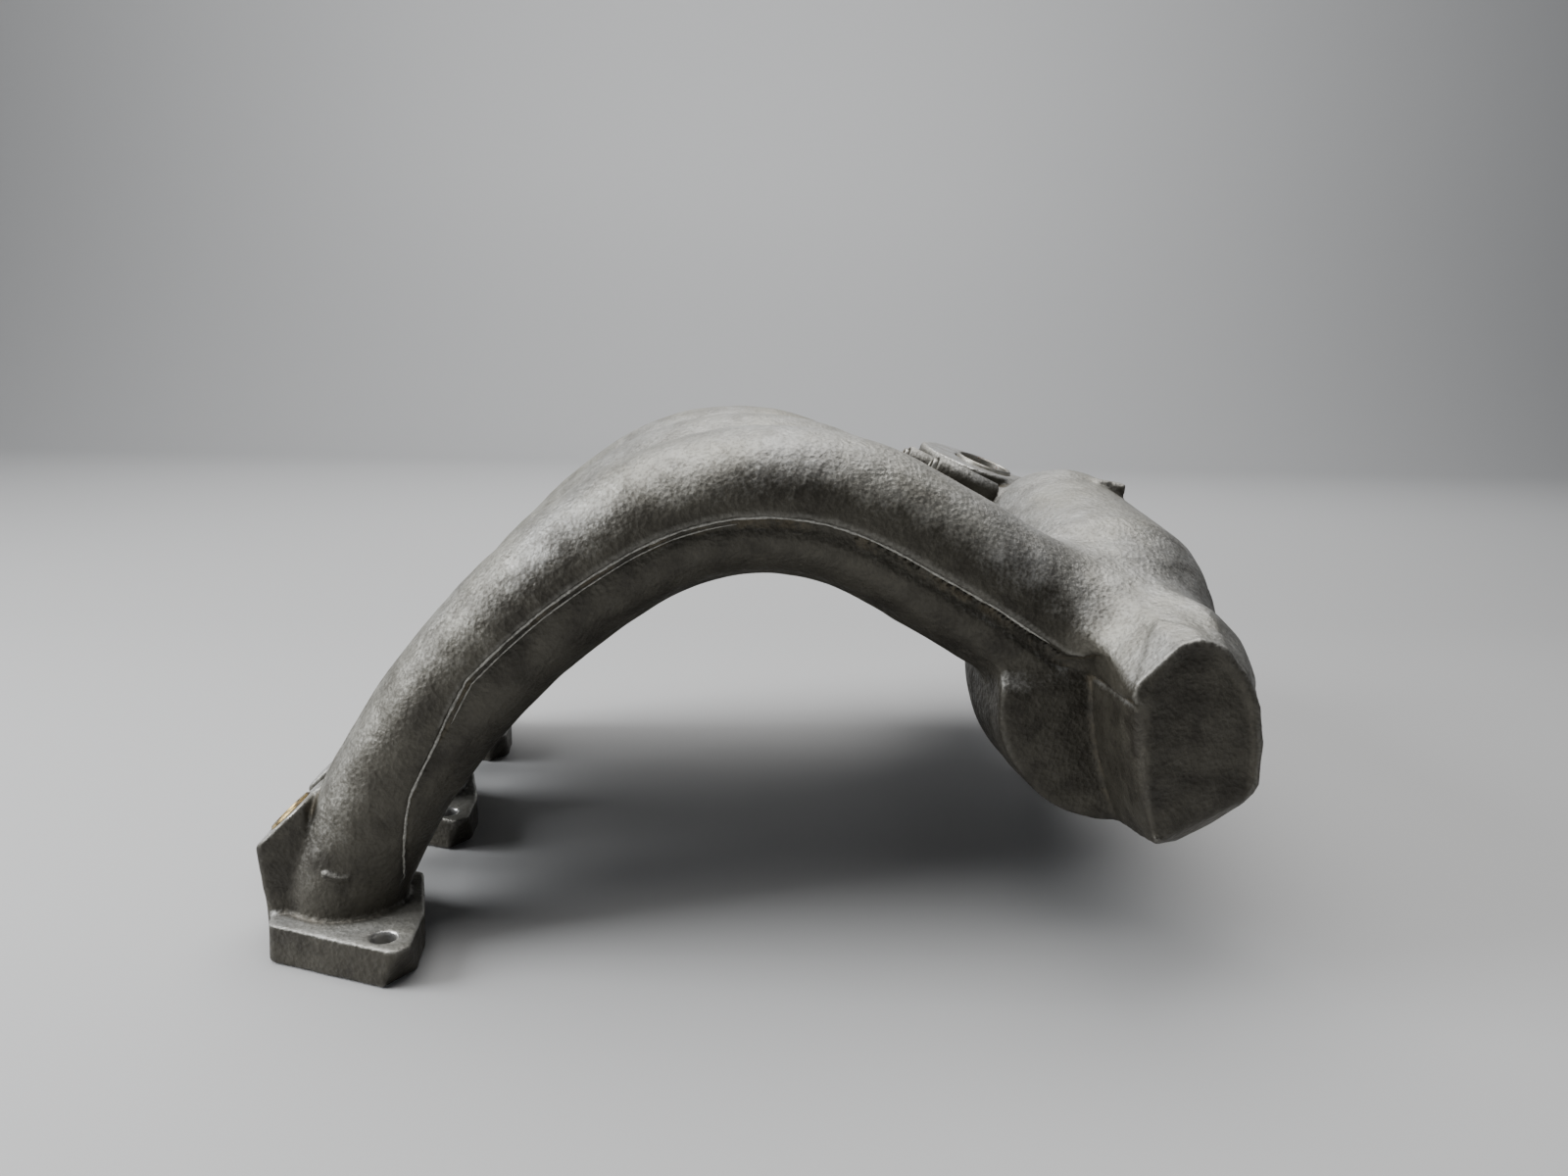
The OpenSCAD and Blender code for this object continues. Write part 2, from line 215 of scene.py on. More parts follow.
# Which side of each runner has a parting line in the open
SEAMS = (-1, 0, 1)
FLANGE_T = 14.5
ARCS = ((37.0, 22.0), (266.0, 34.0), (96.0, 63.0))
DROP = 70.0
LINE_STEP, FOOT_DEPTH = 0.8, 14.0


def centre_line():
    """Points of the centre line about LINE_STEP apart, their distances along it, their normals."""
    head = math.radians(90)
    at = np.array([0.0, FLANGE_T])
    points = [np.array([0.0, z]) for z in np.linspace(-FOOT_DEPTH, FLANGE_T, 30)]
    heads = [head] * len(points)
    for radius, turn in ARCS:
        turn = math.radians(turn)
        count = int(radius * turn / LINE_STEP)
        for k in range(1, count + 1):
            a = head - turn * k / count
            step = (math.sin(head) - math.sin(a), math.cos(a) - math.cos(head))
            points.append(at + radius * np.array(step))
            heads.append(a)
        at, head = points[-1], head - turn
    for k in range(1, int(DROP / LINE_STEP)):
        points.append(at + LINE_STEP * k * np.array([math.cos(head), math.sin(head)]))
        heads.append(head)
    points, heads = np.array(points), np.array(heads)
    gaps = np.linalg.norm(np.diff(points, axis=0), axis=1)
    along = np.concatenate([[0.0], np.cumsum(gaps)]) - (FOOT_DEPTH + FLANGE_T)
    normals = np.stack([-np.sin(heads), np.cos(heads)], axis=1)
    return points, along, normals


LINE, ALONG, NORMALS = centre_line()
# Outer radius of a runner, and offset of its parting line, at distances along the centre line
TUBE_S = (0, 50, 100, 135, 180, 280, 352)
TUBE_R = (21.2, 21.8, 23.7, 25.0, 26.1, 27.6, 28.6)
BEAD_S = (-30, 0, 20, 36, 46, 55, 70, 78, 102, 140, 181, 223, 267, 316, 352)
BEAD_OFF = (-21, -20.5, -18.6, -13.6, -10.3, -7.6, -5.9, -4.6, 0.6, -0.4, -2.3, -3.2, -4.6, -4.0, -6.0)


def tube_radius(s):
    return np.interp(s, TUBE_S, TUBE_R)


def bead_offset(s):
    return np.interp(s, BEAD_S, BEAD_OFF)


def plane_fields():
    """For each (x, z) of the grid: signed offset from the centre line, distance along it."""
    gx, gz = np.meshgrid(XS, ZS, indexing="ij")
    p = np.stack([gx.ravel(), gz.ravel()], axis=1)
    offset, along = np.empty(len(p)), np.empty(len(p))
    batch = 4000
    for a in range(0, len(p), batch):
        q = p[a : a + batch]
        d = ((q[:, None, :] - LINE[None, :, :]) ** 2).sum(2)
        i = d.argmin(1)
        v = q - LINE[i]
        sign = np.where((v * NORMALS[i]).sum(1) < 0, -1.0, 1.0)
        offset[a : a + batch] = np.sqrt(d[np.arange(len(q)), i]) * sign
        along[a : a + batch] = ALONG[i]
    return offset.reshape(gx.shape).astype(np.float32), along.reshape(gx.shape).astype(np.float32)


OFFSET, DISTANCE = plane_fields()
RADIUS = tube_radius(DISTANCE).astype(np.float32)
BEAD = bead_offset(DISTANCE).astype(np.float32)
# Width of the sunk band under the parting line
BAND = np.interp(DISTANCE, (60, 150, 215, 352), (1.5, 1.5, 5.6, 6.4)).astype(np.float32)
# How far the lower near wall of a runner stands from its own plane
WALL_CLIP = np.interp(DISTANCE, (0, 60, 150, 230, 300), (40.0, 21.4, 24.4, 24.6, 23.6)).astype(np.float32)


def runner_distance(w, y0, grow, seam):
    """A runner, grown by grow; seam is -1 or 1 for a parting line on that side of it, else 0."""
    off, r = w.plane(OFFSET), w.plane(RADIUS) + grow
    dy = w.y - y0
    d = np.sqrt(off**2 + dy**2) - r
    if seam:
        side = dy * seam
        below = w.plane(BEAD) - off
        step = smooth_step(-0.6, 0.9, below)
        width = w.plane(BAND)
        band = 1.0 - smooth_step(width - 1.0, width + 0.4, below)
        recess = step * (0.9 + 0.9 * band)
        near = smooth_step(2.0, 8.0, side)
        flat = smooth_max(d, side - w.plane(WALL_CLIP) - grow, 5.0)
        lower = smooth_step(-0.5, 1.0, below) * near
        d = d + (flat - d) * lower + recess * near
    return d


# Plenum: near chamber, dome, crest and log, as (x, z) of their axes
CHAMBER, DOME, CREST, LOG = (282.0, 95.5), (289.0, 116.0), (290.0, 136.5), (300.0, 109.0)
CHAMBER_R, DOME_R, CREST_R, LOG_R = 45.0, 46.6, 35.6, 49.6
NEAR_WALL, DOME_Y, CREST_Y = -141.0, -86.0, -35.0
CHAMBER_DOME_Y, LOG_DOME_Y, LOG_END = -98.0, -26.0, 164.0
WALL = 4.6
# Throttle flange: its thickness, and the square of its studs
FLANGE_Y, STUD_PITCH = 12.0, 62.0


def bar_distance(w, at, from_y, to_y, r):
    """Round bar along Y with domed ends centred at from_y and to_y."""
    dy = np.maximum(np.maximum(from_y - w.y, w.y - to_y), 0.0)
    return np.sqrt((w.x - at[0]) ** 2 + (w.z - at[1]) ** 2 + dy**2) - r


def ball_distance(w, x, y, z, r):
    return np.sqrt((w.x - x) ** 2 + (w.y - y) ** 2 + (w.z - z) ** 2) - r


def pear_distance(w, a, r_a, b, r_b):
    """Distance to the skin drawn over a ball at a and a ball at b."""
    step = [q - p for p, q in zip(a, b)]
    t = (w.x - a[0]) * step[0] + (w.y - a[1]) * step[1] + (w.z - a[2]) * step[2]
    t = np.clip(t / sum(v * v for v in step), 0.0, 1.0)
    gap = [v - p - t * q for v, p, q in zip((w.x, w.y, w.z), a, step)]
    return np.sqrt(gap[0] ** 2 + gap[1] ** 2 + gap[2] ** 2) - (r_a + t * (r_b - r_a))


def plenum_distance(w, grow, k):
    chamber = bar_distance(w, CHAMBER, -200.0, CHAMBER_DOME_Y, CHAMBER_R + grow)
    # The near wall is flat low down, and leans back where the nose runs into the dome
    lean = 24.0 * smooth_step(98.0, 130.0, w.z) + 20.0 * smooth_step(298.0, 326.0, w.x)
    chamber = smooth_max(chamber, NEAR_WALL + lean - grow - w.y, 3.0)
    crest, dome = (CREST[0], CREST_Y, CREST[1]), (DOME[0], DOME_Y, DOME[1])
    top = pear_distance(w, crest, CREST_R + grow, dome, DOME_R + grow)
    log = bar_distance(w, LOG, LOG_DOME_Y, 400.0, LOG_R + grow)
    d = smooth_min(top, chamber, 1.6 * k)
    d = smooth_min(d, log, k)
    return smooth_max(d, w.y - LOG_END - grow, 0.8)


NOSE_END = -183.8
NOSE_OUTLINE = (
    (279.5, 57.5),
    (291.0, 58.0),
    (303.0, 63.5),
    (312.0, 71.0),
    (315.0, 80.0),
    (315.0, 93.0),
    (312.5, 105.5),
    (306.5, 117.5),
    (298.5, 126.0),
    (290.5, 129.0),
    (283.5, 127.0),
    (275.5, 119.5),
    (268.5, 112.0),
    (269.0, 101.0),
    (271.5, 85.0),
    (274.5, 65.0),
)


def inset(corners, r):
    """A convex counterclockwise polygon with each side moved in by r."""
    out = []
    n = len(corners)
    for k in range(n):
        (ax, az), (bx, bz), (cx, cz) = corners[k - 1], corners[k], corners[(k + 1) % n]
        u = np.array([bx - ax, bz - az]) / math.hypot(bx - ax, bz - az)
        v = np.array([cx - bx, cz - bz]) / math.hypot(cx - bx, cz - bz)
        nu, nv = np.array([-u[1], u[0]]), np.array([-v[1], v[0]])
        m = (nu + nv) / (1.0 + float(nu @ nv))
        out.append((bx + r * m[0], bz + r * m[1]))
    return out


def slab_distance(flat, across, half, edge):
    """A 2-D distance given a thickness of 2 * half, with its rims rounded by edge."""
    a, b = flat + edge, abs(across) - half + edge
    outside = np.sqrt(np.maximum(a, 0) ** 2 + np.maximum(b, 0) ** 2)
    return outside + np.minimum(np.maximum(a, b), 0.0) - edge


# The nose swells from its end face back to the chamber, but its left wall stays straight
NOSE_SWELL, SWELL_LEN = 12.5, 52.0
SHOULDER_Z, SHOULDER_X = 107.0, 268.4


def nose_distance(w, grow):
    flat = polygon_distance(w.x, w.z, inset(NOSE_OUTLINE, 4.0)) - 4.0
    rim = 0.9 * smooth_step(0.9, -0.9, w.y - np.interp(w.x, (268, 283, 291), (-183, -163, -174)))
    rim = rim * smooth_step(100.0, 112.0, w.z)
    corner = smooth_step(98.0, 110.0, w.z) * smooth_step(288.0, 302.0, w.x)
    swell = NOSE_SWELL * np.clip((w.y - NOSE_END - 3.0) / (SWELL_LEN - 28.0 * corner), 0.0, 1.0)
    d = smooth_max(flat - swell - rim, bar_distance(w, CHAMBER, -300.0, 0.0, CHAMBER_R + 0.4), 4.0)
    upper = -0.995 * (w.x - 270.2) - 0.096 * (w.z - 105.0)
    lower = -0.919 * (w.x - 272.8) - 0.396 * (w.z - 78.0)
    wall = smooth_max(upper, lower, 6.0)
    shoulder = SHOULDER_X - w.x
    low = smooth_step(SHOULDER_Z + 0.9, SHOULDER_Z - 0.9, w.z)
    d = smooth_max(d, wall * low + shoulder * (1.0 - low), 1.5) - grow
    # The end face lies a little behind its rim, and rounds off into the left wall
    sunk = 1.5 * smooth_step(2.2, 3.6, -flat) * smooth_step(274.0, 282.0, w.x)
    edge = 0.9 + 5.0 * smooth_step(283.0, 272.0, w.x) * low
    front = NOSE_END + sunk - grow - w.y
    a, b = d + edge, front + edge
    d = np.sqrt(np.maximum(a, 0) ** 2 + np.maximum(b, 0) ** 2) + np.minimum(np.maximum(a, b), 0) - edge
    # The lower front edge is bevelled
    bevel = 0.326 * (w.x - 281.0) - 0.707 * (w.y - NOSE_END) - 0.627 * (w.z - 60.5) - grow
    return np.maximum(smooth_max(d, bevel, 1.2), w.y + 112.0)


def shoulder_groove(w):
    """Distance to the dark line under the shoulder."""
    slant = w.z - SHOULDER_Z + 0.4
    d = np.sqrt((w.x - SHOULDER_X - 1.2) ** 2 + slant**2) - 1.5
    return np.maximum(np.maximum(d, -(w.y + 183.0)), w.y + 143.0)


# ---- head flanges, sloping bosses and the holes in them

BOLT = (20.0, -32.5)
FLANGE_OUTLINE = (
    (-22.6, -21.6),
    (24.8, -43.4),
    (30.2, -42.0),
    (29.9, -14.0),
    (22.6, 21.6),
    (-24.8, 43.4),
    (-30.2, 42.0),
    (-29.9, 14.0),
)
BOSS_LEAN, BOSS_FOOT_X = math.radians(6.2), -26.8
TILT = math.radians(44)
FACE = (-19.5, 48.5)
PASSAGE_R, BUSH_R, BUSH_LEN = 5.5, 9.0, 8.0


def flange_distance(w, y0, rough):
    px, py = w.x, w.y - y0
    flat = polygon_distance(px, py, inset(FLANGE_OUTLINE, 4.6)) - 4.6 + 0.7 * rough
    for s in (1.0, -1.0):
        corner = 0.744 * s * px - 0.543 * s * py - 0.389 * w.z - 38.4 + 1.2 * rough
        flat = smooth_max(flat, corner, 0.6)
    return slab_distance(flat, w.z - FLANGE_T / 2 + 4.0, FLANGE_T / 2 + 4.0, 0.6)


def face_axis(w, y0):
    """Height over a sloping face at y0, and distance from its axis."""
    ax, az = -math.sin(TILT), math.cos(TILT)
    dx, dz = w.x - FACE[0], w.z - FACE[1]
    high = dx * ax + dz * az
    across = dx * az - dz * ax
    return high, np.sqrt(across**2 + (w.y - y0) ** 2)


def boss_distance(w, y0, width, low_z, rough):
    high, _ = face_axis(w, y0)
    left = -(w.x - BOSS_FOOT_X) * math.cos(BOSS_LEAN) - (w.z - FLANGE_T) * math.sin(BOSS_LEAN)
    side = abs(w.y - y0) - width / 2
    d = smooth_max(left, side, 4.0)
    d = smooth_max(d, low_z - w.z, 1.5)
    d = smooth_max(d, w.x + 10.0, 2.0) + 0.3 + 0.8 * rough
    return smooth_max(d, high, 1.0)


# ---- air port, vacuum bosses, lug and leg

PORT_AT, PORT_TILT = (274.5, 66.0, 168.5), (math.radians(8), math.radians(18))
PORT_R, PORT_OFFSET, PASSAGE_PORT_R = 27.0, 7.5, 14.5
# Sleeve in the air port: radius, bore radius, length, how far it stands out
SLEEVE = (15.0, 13.0, 14.0, 1.5)
VACUUM_MOUTH, VACUUM_SLOPE = (234.0, 171.5), math.radians(25)
VACUUM_Y, VACUUM_BOSS_R = (-28.0, 36.0), 6.1
LUG_AT, LUG_TILT, LUG_HALF = (306.2, -47.0, 165.2), math.radians(9), (7.5, 4.5, 3.4)
LEG_AT, LEG_R = (324.0, 52.0), 11.0
# Vacuum pipe: how far it stands out, length, radius, bore radius
VACUUM_PIPE = (2.0, 22.0, 4.0, 2.75)
VACUUM_BOSS_LEN = 30.0
# Core plug: its place along Y, the X of its seat, the radius of its hole
PLUG_Y, PLUG_X, PLUG_R = 107.0, LOG[0] + 42.0, 17.0
RAIL_Y = (-PITCH / 2, PITCH / 2)


def port_axis():
    a, b = PORT_TILT
    return np.array([math.sin(b) * math.cos(a), -math.sin(a), math.cos(b) * math.cos(a)])


def port_mouth():
    """Centre of the port's mouth on its face."""
    b = PORT_TILT[1]
    return np.array(PORT_AT) + PORT_OFFSET * np.array([math.cos(b), 0.0, -math.sin(b)])


def axis_fields(w, at, axis):
    """Height along an axis from at, and distance from the axis."""
    dx, dy, dz = w.x - at[0], w.y - at[1], w.z - at[2]
    high = dx * axis[0] + dy * axis[1] + dz * axis[2]
    away = np.sqrt(np.maximum(dx**2 + dy**2 + dz**2 - high**2, 0.0))
    return high, away


def vacuum_axis():
    return np.array([math.cos(VACUUM_SLOPE), 0.0, -math.sin(VACUUM_SLOPE)])


def lattice_noise(rng, size, w):
    """Smooth noise from -1 to 1 with features of this size, on the window's points."""
    counts = [int((p[-1] - p[0]) / size) + 4 for p in (XS, YS, ZS)]
    table = rng.uniform(-1, 1, counts).astype(np.float32)
    out = table
    for axis, (points, values) in enumerate(zip((XS, YS, ZS), (w.x, w.y, w.z))):
        t = (values.ravel() - points[0]) / size + 1
        i = np.floor(t).astype(int)
        f = t - i
        f = f * f * (3 - 2 * f)
        shape = [1, 1, 1]
        shape[axis] = len(f)
        f = f.reshape(shape).astype(np.float32)
        out = np.take(out, i, axis) * (1 - f) + np.take(out, i + 1, axis) * f
    return out


def join(field, w, d, k=None):
    """Adds the shape of distance d to the field, with a fillet of size k or none."""
    part = field[w.cut]
    part[...] = np.minimum(part, d) if k is None else smooth_min(part, d, k)


def carve(field, w, d, k=0.0):
    """Takes the shape of distance d out of the field."""
    part = field[w.cut]
    part[...] = smooth_max(part, -d, k) if k else np.maximum(part, -d)


def outer_field(rough):
    """Distance to the outside of the casting; rough is the unevenness of its sand-cast skin."""
    f = np.full(SHAPE, FAR, np.float32)
    for y0, seam in zip(RUNNER_Y, SEAMS):
        w = Window((-40, y0 - 45, -2), (300, y0 + 45, 197))
        join(f, w, runner_distance(w, y0, 0.0, seam))
    # Webs between the runners
    w = Window((-40, RUNNER_Y[0], 10), (300, RUNNER_Y[2], 197))
    web = abs(w.plane(OFFSET) - 14.2) - 2.2
    web = smooth_max(web, 22.0 - w.plane(DISTANCE) + 0 * w.y, 2.0)
    web = np.maximum(web, abs(w.y) - PITCH)
    join(f, w, web, 11.0)
    w = Window((220, -150, 40), (360, LOG_END + 2, 197))
    join(f, w, plenum_distance(w, 0.0, 9.0), 7.0)
    w = Window((255, -188, 40), (330, -110, 150))
    blend = 1.6 + 18.0 * smooth_step(104.0, 116.0, w.z)
    join(f, w, nose_distance(w, 0.0), blend)
    carve(f, w, shoulder_groove(w), 0.6)
    for y in VACUUM_Y:
        w = Window((222, y - 14, 135), (285, y + 14, 182))
        high, away = axis_fields(w, (VACUUM_MOUTH[0], y, VACUUM_MOUTH[1]), vacuum_axis())
        join(f, w, disc_distance(away, high - 24.0, VACUUM_BOSS_R - 0.5, 22.0, 0.5), 2.5)
    w = Window((290, -62, 145), (328, -32, 178))
    dx, dz = w.x - LUG_AT[0], w.z - LUG_AT[2]
    u = dx * math.cos(LUG_TILT) - dz * math.sin(LUG_TILT)
    v = dx * math.sin(LUG_TILT) + dz * math.cos(LUG_TILT)
    join(f, w, box_distance(u, w.y - LUG_AT[1], v, LUG_HALF, 0.6), 1.0)
    w = Window((305, 30, -2), (342, 74, 130))
    away = np.sqrt((w.x - LEG_AT[0]) ** 2 + (w.y - LEG_AT[1]) ** 2)
    join(f, w, np.maximum(away - LEG_R, w.z - 120.0), 6.0)
    f += rough
    # Port neck and face
    w = Window((228, 20, 120), (325, 112, 185))
    high, away = axis_fields(w, PORT_AT, port_axis())
    neck = disc_distance(away + 0.6 * rough[w.cut], high + 14.0, PORT_R, 14.0, 1.6)
    join(f, w, neck, 3.5)
    for y0 in RUNNER_Y:
        w = Window((-40, y0 - 52, -2), (40, y0 + 52, 72))
        join(f, w, boss_distance(w, y0, 27.0, -20.0, rough[w.cut]), 2.2)
        join(f, w, flange_distance(w, y0, rough[w.cut]), 2.0)
    for y0 in RAIL_Y:
        w = Window((-40, y0 - 18, 22), (40, y0 + 18, 80))
        join(f, w, boss_distance(w, y0, 22.0, 31.0, rough[w.cut]), 2.5)
    # Throttle flange
    w = Window((245, LOG_END - 8, 55), (355, 182, 165))
    qx, qz = abs(w.x - LOG[0]) - STUD_PITCH / 2, abs(w.z - LOG[1]) - STUD_PITCH / 2
    flat = np.sqrt(np.maximum(qx, 0) ** 2 + np.maximum(qz, 0) ** 2)
    flat = flat + np.minimum(np.maximum(qx, qz), 0) - 11.0
    middle = LOG_END + FLANGE_Y / 2
    join(f, w, slab_distance(flat + 0 * w.y, w.y - middle, FLANGE_Y / 2, 0.5), 2.5)
    return f


def add_marks(f):
    """Raised dash on the first leg."""
    w = Window((-8, -150, 22), (12, -128, 44))
    dx = w.x - 1.2
    arc = w.z - (31.2 + 0.05 * dx**2 - 0.22 * dx)
    away = np.sqrt(arc**2 + (w.y + 139.4) ** 2)
    join(f, w, np.maximum(away - 1.1, abs(dx) - 5.0), 0.6)


def hollow_field():
    """Distance to the air space inside the casting."""
    f = np.full(SHAPE, FAR, np.float32)
    for y0, seam in zip(RUNNER_Y, SEAMS):
        w = Window((-40, y0 - 45, -2), (300, y0 + 45, 197))
        join(f, w, runner_distance(w, y0, -WALL, seam))
    w = Window((220, -150, 40), (360, 182, 197))
    join(f, w, plenum_distance(w, -WALL, 9.0), 3.0)
    w = Window((255, -188, 50), (325, -112, 140))
    join(f, w, nose_distance(w, -WALL), 2.0)
    w = Window((228, 20, 120), (325, 112, 185))
    high, away = axis_fields(w, port_mouth(), port_axis())
    depth = SLEEVE[2] - SLEEVE[3]
    join(f, w, np.maximum(away - SLEEVE[0], -high - depth))
    elbow = port_mouth() - (depth + 1.0) * port_axis()
    join(f, w, ball_distance(w, *elbow, PASSAGE_PORT_R))
    away = np.sqrt((w.x - elbow[0]) ** 2 + (w.y - elbow[1]) ** 2)
    join(f, w, np.maximum(away - PASSAGE_PORT_R, abs(w.z - elbow[2] + 11.0) - 11.0))
    w = Window((260, 140, 70), (340, 182, 150))
    away = np.sqrt((w.x - LOG[0]) ** 2 + (w.z - LOG[1]) ** 2)
    join(f, w, np.maximum(away - 30.0, 150.0 - w.y))
    for y0 in RUNNER_Y:
        w = Window((-40, y0 - 40, -2), (40, y0 + 40, 72))
        high, away = face_axis(w, y0)
        join(f, w, np.maximum(away - PASSAGE_R, -high - 30.0))
        join(f, w, np.maximum(away - BUSH_R, -high - BUSH_LEN))
        port = np.sqrt(w.x**2 + (w.y - y0) ** 2) - 17.0
        join(f, w, np.maximum(port, w.z - FLANGE_T - 2.0))
        for s in (1, -1):
            x, y = s * BOLT[0], y0 + s * BOLT[1]
            w = Window((x - 8, y - 8, -2), (x + 8, y + 8, 20))
            away = np.sqrt((w.x - x) ** 2 + (w.y - y) ** 2)
            join(f, w, away - 4.5 + 0 * w.z)
    for y0 in RAIL_Y:
        w = Window((-40, y0 - 12, 30), (20, y0 + 12, 72))
        high, away = face_axis(w, y0)
        join(f, w, np.maximum(away - 5.0, -high - 12.0))
    for y in VACUUM_Y:
        w = Window((222, y - 10, 135), (285, y + 10, 180))
        high, away = axis_fields(w, (VACUUM_MOUTH[0], y, VACUUM_MOUTH[1]), vacuum_axis())
        join(f, w, np.maximum(away - VACUUM_BOSS_R + 1.4, high - VACUUM_BOSS_LEN))
    w = Window((310, 38, -2), (338, 66, 22))
    away = np.sqrt((w.x - LEG_AT[0]) ** 2 + (w.y - LEG_AT[1]) ** 2)
    join(f, w, np.maximum(away - 6.0, w.z - 18.0))
    w = Window((335, 85, 85), (358, 130, 132))
    away = np.sqrt((w.y - PLUG_Y) ** 2 + (w.z - LOG[1]) ** 2)
    join(f, w, np.maximum(away - PLUG_R, PLUG_X - w.x))
    return f


CORNERS = [(a, b, c) for a in (0, 1) for b in (0, 1) for c in (0, 1)]


def surface_nets(f):
    """Vertices and quads of the surface where f is zero."""
    inside = f < 0
    count = np.zeros(tuple(n - 1 for n in f.shape), np.uint8)
    for a, b, c in CORNERS:
        nx, ny, nz = count.shape
        count += inside[a : a + nx, b : b + ny, c : c + nz]
    mixed = (count > 0) & (count < 8)
    index = np.full(count.shape, -1, np.int32)
    ids = np.flatnonzero(mixed)
    index.ravel()[ids] = np.arange(len(ids))
    cell = np.array(np.unravel_index(ids, count.shape))
    total, hits = np.zeros((len(ids), 3)), np.zeros(len(ids))
    axes = (XS, YS, ZS)
    for a in CORNERS:
        for axis in range(3):
            if a[axis]:
                continue
            b = tuple(v + (1 if k == axis else 0) for k, v in enumerate(a))
            ia, ib = [tuple(cell[k] + c[k] for k in range(3)) for c in (a, b)]
            fa, fb = f[ia], f[ib]
            cross = (fa < 0) != (fb < 0)
            t = fa[cross] / (fa[cross] - fb[cross])
            for k in range(3):
                start = axes[k][ia[k][cross]]
                end = axes[k][ib[k][cross]]
                total[cross, k] += start + t * (end - start)
            hits[cross] += 1
    verts = total / hits[:, None]
    quads = []
    for axis in range(3):
        low = [slice(1, -1)] * 3
        high = [slice(1, -1)] * 3
        low[axis], high[axis] = slice(0, -1), slice(1, None)
        here, there = inside[tuple(low)], inside[tuple(high)]
        cross = np.array(np.nonzero(here != there))
        grid = [cross[k] + (0 if k == axis else 1) for k in range(3)]
        u, v = [k for k in range(3) if k != axis]
        ring = []
        for du, dv in ((1, 1), (0, 1), (0, 0), (1, 0)):
            place = list(grid)
            place[u] = grid[u] - du
            place[v] = grid[v] - dv
            ring.append(index[tuple(place)])
        quad = np.stack(ring, axis=1)
        out = here[tuple(cross)]
        if axis == 1:
            out = ~out
        quad[~out] = quad[~out][:, ::-1]
        quads.append(quad)
    return verts, np.concatenate(quads)


def build_mesh(name, verts, quads):
    data = bpy.data.meshes.new(name)
    data.vertices.add(len(verts))
    data.vertices.foreach_set("co", (verts * MM).astype(np.float32).ravel())
    data.loops.add(quads.size)
    data.loops.foreach_set("vertex_index", quads.astype(np.int32).ravel())
    data.polygons.add(len(quads))
    data.polygons.foreach_set("loop_start", np.arange(0, quads.size, 4, dtype=np.int32))
    data.update(calc_edges=True)
    data.validate()
    data.polygons.foreach_set("use_smooth", [True] * len(data.polygons))
    obj = bpy.data.objects.new(name, data)
    bpy.context.scene.collection.objects.link(obj)
    return obj


def sample(field, verts):
    """The field at these points, between its grid values."""
    parts = []
    for axis, points in enumerate((XS, YS, ZS)):
        i = np.clip(np.searchsorted(points, verts[:, axis]) - 1, 0, len(points) - 2)
        parts.append((i, (verts[:, axis] - points[i]) / (points[i + 1] - points[i])))
    out = np.zeros(len(verts))
    for corner in CORNERS:
        place, weight = [], 1.0
        for c, (i, t) in zip(corner, parts):
            place.append(i + c)
            weight = weight * (t if c else 1 - t)
        out += weight * field[tuple(place)]
    return out


def blurred(field, passes):
    f = field.copy()
    for _ in range(passes):
        for axis in range(3):
            g = np.moveaxis(f, axis, 0)
            g[1:-1] = 0.25 * g[:-2] + 0.5 * g[1:-1] + 0.25 * g[2:]
    return f


def first_hit(field, x, z, from_y, to_y):
    """Where a line along Y at (x, z) first meets the solid."""
    count = 160
    ys = np.linspace(from_y, to_y, count)
    values = sample(field, np.stack([np.full(count, x), ys, np.full(count, z)], axis=1))
    k = int(np.argmax(values < 0))
    return ys[k - 1] + (ys[k] - ys[k - 1]) * values[k - 1] / (values[k - 1] - values[k])


# "bend" value of the ridges, beyond that of any edge
RIDGE_BEND = -2.0
# Parting line ridges: runner, side, from and to along it, shift, radius
BEADS = (
    (-PITCH, -1, 18.0, 342.0, 0.0, 0.85),
    (-PITCH, -1, 86.0, 215.0, -2.3, 0.45),
    (PITCH, 1, 18.0, 330.0, 0.0, 0.85),
)


def bead_strip(field, y0, side, from_s, to_s, shift, r):
    """Thin closed ridge laid along the parting line of a runner."""
    rings, segments = [], 8
    for s in np.arange(from_s, to_s, 2.0):
        i = int(np.searchsorted(ALONG, s))
        x, z = LINE[i] + NORMALS[i] * (bead_offset(s) + shift)
        y = first_hit(field, x, z, y0 + side * 45.0, y0)
        rings.append((np.array([x, y, z]), NORMALS[i], s))
    verts = []
    for k, (at, normal, s) in enumerate(rings):
        up = np.array([normal[0], 0.0, normal[1]])
        out = np.array([0.0, side, 0.0])
        taper = min(1.0, 0.25 + (s - from_s) / 12.0, 0.25 + (to_s - s) / 12.0)
        size = r * taper * (1.0 + 0.18 * math.sin(0.7 * k) + 0.12 * math.sin(1.9 * k + 1.0))
        for j in range(segments):
            a = 2 * math.pi * j / segments
            verts.append(at + size * (0.75 * math.cos(a) * up + 0.8 * math.sin(a) * out))
    faces = []
    for k in range(len(rings) - 1):
        for j in range(segments):
            a, b = k * segments + j, k * segments + (j + 1) % segments
            faces.append((a, b, b + segments, a + segments))
    faces.append(tuple(reversed(range(segments))))
    faces.append(tuple(range(len(verts) - segments, len(verts))))
    return verts, faces


